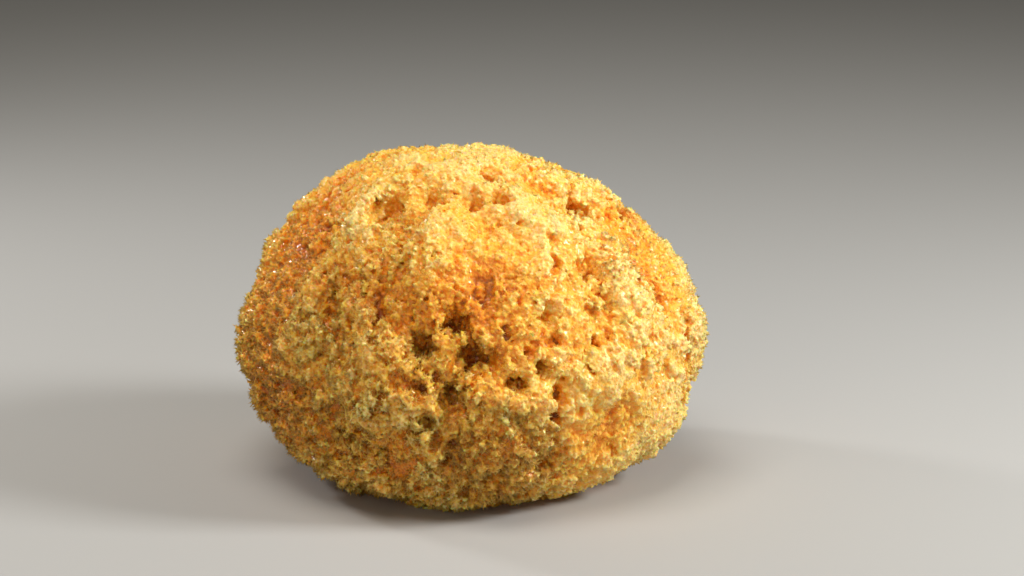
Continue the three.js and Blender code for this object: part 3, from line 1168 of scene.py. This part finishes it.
@dataclass(frozen=True)
class SpongeFinish:
    """Damp golden sponge fibre, with painted shade: amber in its hollows and brown deep inside, and a
    painted cream highlight on its raised tops and lit side.
    """

    name: str = "sponge_fibre"
    # cream is the painted highlight colour of the raised tops and the lit side.
    cream: Colour = (0.91, 0.69, 0.27)
    pale: Colour = (0.93, 0.55, 0.12)
    golden: Colour = (0.93, 0.47, 0.06)
    # amber and brown are the painted shade colours of the hollows and the depths.
    amber: Colour = (0.85, 0.29, 0.015)
    brown: Colour = (0.45, 0.12, 0.01)
    rust: Colour = (0.88, 0.30, 0.03)
    roughness: float = 0.55
    shine: float = 0.12
    coat: float = 0.5
    coat_roughness: float = 0.1
    glow: float = 0.85
    glow_reach: tuple[float, float, float] = (3.2, 1.2, 0.25)
    through: float = 0.0
    deep: Range = (0.4, 8.0)
    deep_painted_shade: Range = (-0.05, 0.9)
    sunken: Range = (0.5, -1.1)
    hollow_painted_shade: Range = (-0.1, 0.7)
    painted_highlight_span: Range = (0.12, -0.15)
    clouds: Range = (0.3, 0.7)
    mottle: float = 0.004
    speckle: float = 0.0007
    smear: float = 0.0015
    rust_patch: float = 0.006
    bead: float = 0.0009
    bead_height: float = 0.0004

    def colour(self, sheet: NodeSheet) -> Socket:
        """Works out the colour, with painted light and shade: cream and paler on the raised tops and the
        lit side, amber painted shade in the hollows, brown painted shade in the depths.

        Args:
            sheet: the material to add the nodes to.

        Returns:
            The colour.
        """
        # Painted shade: the deeper a place lies under the shell and the more sunken it is, the further
        # its colour runs towards amber and brown.
        depth = sheet.spread(sheet.stored("depth"), self.deep, self.deep_painted_shade)
        painted_hollow_shade = sheet.spread(sheet.stored("raised"), self.sunken, self.hollow_painted_shade)
        broad = sheet.spread(sheet.noise(self.mottle, 3), self.clouds, (-0.08, 0.08))
        fine = sheet.spread(sheet.noise(self.speckle, 2), self.clouds, (-0.15, 0.15))
        # The stain value is partly real stain and partly painted light and shade by side.
        uneven = sheet.sum(sheet.sum(broad, fine), sheet.stored("stain_and_painted_light"))
        # The ramp runs from pale on the tops to amber and brown, as painted shade in hollows and depths.
        stops = [(0.05, self.pale), (0.25, self.golden), (0.55, self.amber), (0.9, self.brown)]
        shade = sheet.sum(sheet.sum(depth, painted_hollow_shade), uneven)
        # Painted highlight: where the shade value is lowest, on raised tops and the lit side, the colour
        # is mixed towards cream; random paler tone adds to it too.
        cream_and_painted_highlight = sheet.spread(shade, self.painted_highlight_span, (0.0, 0.9))
        return sheet.tint(sheet.ramp(shade, stops), cream_and_painted_highlight, self.cream)

    def let_light_through(self, sheet: NodeSheet) -> None:
        """Lets part of the light through the thin tips.

        Args:
            sheet: the material to change.
        """
        thin = sheet.add("ShaderNodeBsdfTranslucent")
        both = sheet.add("ShaderNodeMixShader")
        both.inputs["Fac"].default_value = self.through
        colour = sheet.shader.inputs["Base Color"].links[0].from_socket
        sheet.join(colour, thin.inputs["Color"])
        sheet.join(sheet.shader.outputs["BSDF"], both.inputs[1])
        sheet.join(thin.outputs["BSDF"], both.inputs[2])
        sheet.join(both.outputs["Shader"], sheet.tree.nodes["Material Output"].inputs["Surface"])

    def make(self) -> bpy.types.Material:
        """Builds the material.

        Returns:
            The material, ready for a slot.
        """
        sheet = NodeSheet(self.name)
        shader = sheet.shader
        patches = sheet.spread(sheet.noise(self.rust_patch, 2), (0.45, 0.7), (-0.3, 0.08))
        rusty = sheet.sum(patches, sheet.stored("rust"))
        sheet.join(sheet.tint(self.colour(sheet), rusty, self.rust), shader.inputs["Base Color"])
        around = (self.roughness - 0.15, self.roughness + 0.15)
        rough = sheet.spread(sheet.noise(self.smear, 1), self.clouds, around)
        sheet.join(rough, shader.inputs["Roughness"])
        grain = sheet.add("ShaderNodeBump")
        grain.inputs["Distance"].default_value = self.bead_height
        grain.inputs["Strength"].default_value = 1.0
        sheet.join(sheet.beads(self.bead), grain.inputs["Height"])
        sheet.join(grain.outputs["Normal"], shader.inputs["Normal"])
        shader.inputs["Specular IOR Level"].default_value = self.shine
        shader.inputs["Coat Weight"].default_value = self.coat
        shader.inputs["Coat Roughness"].default_value = self.coat_roughness
        if self.through > 0:
            self.let_light_through(sheet)
        shader.inputs["Subsurface Weight"].default_value = self.glow
        shader.inputs["Subsurface Radius"].default_value = self.glow_reach
        shader.inputs["Subsurface Scale"].default_value = MM
        return sheet.material


@dataclass(frozen=True)
class TipFinish(SpongeFinish):
    """The fibre tips: the same fibre, but paler towards each tip."""

    name: str = "sponge_fibre_tips"
    shine: float = 0.1
    coat: float = 0.4
    glow: float = 0.5
    glow_reach: tuple[float, float, float] = (0.6, 0.35, 0.12)
    through: float = 0.3
    tip: Colour = (0.98, 0.65, 0.18)

    def colour(self, sheet: NodeSheet) -> Socket:
        """Works out the colour: the body's own, paler towards each tip.

        Args:
            sheet: the material to add the nodes to.

        Returns:
            The colour.
        """
        own = super().colour(sheet)
        paler = sheet.spread(sheet.stored("paleness"), (0, 1), (0, 0.85))
        return sheet.tint(own, paler, self.tip)


# -------------------------------------------------------------------------------------- studio


@dataclass(frozen=True)
class Lamp:
    """One square soft light that faces the sponge, in metres and watts."""

    name: str
    place: tuple[float, float, float]
    size: float
    power: float
    tint: Colour


LAMPS = (
    Lamp("key", (0.61, -0.16, 0.42), 0.2, 5.3, (1.0, 1.0, 0.98)),
    Lamp("overhead", (-0.2, -0.35, 1.2), 0.7, 9.8, (1.0, 0.94, 0.85)),
    Lamp("fill", (-0.22, -0.84, 0.26), 0.7, 2.1, (1.0, 0.92, 0.75)),
    Lamp("rim", (-0.5, 0.25, 0.35), 0.08, 1.3, (1.0, 0.98, 0.96)),
)


@dataclass
class Studio:
    """The plain floor, the soft lights and the camera."""

    distance: float = 0.673
    lens: float = 85.0
    sensor: float = 36.0
    tilt: float = 13.5
    aim: tuple[float, float, float] = (0.0117, 0.0, 0.0525)
    lit_height: float = 0.045
    floor_reach: float = 6.0
    floor_colour: Colour = (0.42, 0.42, 0.415)
    floor_roughness: float = 0.8
    air_colour: Colour = (1.0, 0.93, 0.78)
    air_light: float = 0.08

    def place_camera(self) -> None:
        """Sets up the camera in front of the sponge, looking slightly down."""
        data = bpy.data.cameras.new("camera")
        data.lens = self.lens
        data.sensor_width = self.sensor
        camera = bpy.data.objects.new("camera", data)
        bpy.context.scene.collection.objects.link(camera)
        tilt = math.radians(self.tilt)
        back = Vector((0, -math.cos(tilt), math.sin(tilt)))
        camera.location = Vector(self.aim) + back * self.distance
        camera.rotation_euler = (-back).to_track_quat("-Z", "Y").to_euler()
        bpy.context.scene.camera = camera

    def hang(self, lamp: Lamp) -> None:
        """Hangs one soft light.

        Args:
            lamp: the light.
        """
        data = bpy.data.lights.new(lamp.name, "AREA")
        data.size = lamp.size
        data.energy = lamp.power
        data.color = lamp.tint
        light = bpy.data.objects.new(lamp.name, data)
        light.location = lamp.place
        aim = Vector((0, 0, self.lit_height)) - Vector(lamp.place)
        light.rotation_euler = aim.to_track_quat("-Z", "Y").to_euler()
        bpy.context.scene.collection.objects.link(light)

    def lay_floor(self) -> None:
        """Lays the plain floor."""
        size = self.floor_reach
        corners = np.array(((-size, -size, 0), (size, -size, 0), (size, size, 0), (-size, size, 0)))
        floor = new_piece("floor", corners, np.array(((0, 1, 2), (0, 2, 3))))
        sheet = NodeSheet("floor")
        sheet.shader.inputs["Base Color"].default_value = (*self.floor_colour, 1)
        sheet.shader.inputs["Roughness"].default_value = self.floor_roughness
        floor.data.materials.append(sheet.material)

    def build(self) -> None:
        """Builds the camera, the floor, the lights and the light of the air around."""
        self.place_camera()
        self.lay_floor()
        for lamp in LAMPS:
            self.hang(lamp)
        world = bpy.data.worlds.new("world")
        world.use_nodes = True
        air = world.node_tree.nodes["Background"]
        air.inputs["Color"].default_value = (*self.air_colour, 1)
        air.inputs["Strength"].default_value = self.air_light
        bpy.context.scene.world = world
        bpy.context.scene.view_settings.view_transform = "Standard"


def main() -> None:
    """Builds the studio, the sponge and its fibre tips, and reports each piece."""
    logging.basicConfig(level=logging.INFO, format="%(relativeCreated)d %(name)s: %(message)s")
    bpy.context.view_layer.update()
    Studio().build()
    sponge = SpongeBody()
    pieces = sponge.build()
    for piece in pieces:
        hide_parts(NODE)
    finish, tip_finish = SpongeFinish().make(), TipFinish().make()
    tips = FibreTips(sponge).build()
    pieces.append(tips)
    for piece in pieces:
        piece.data.materials.append(tip_finish if piece is tips else finish)
        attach(piece, BODY)
        log.info("%s: %d triangles", piece.name, len(piece.data.polygons))
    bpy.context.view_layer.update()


if __name__ == "__main__":
    main()
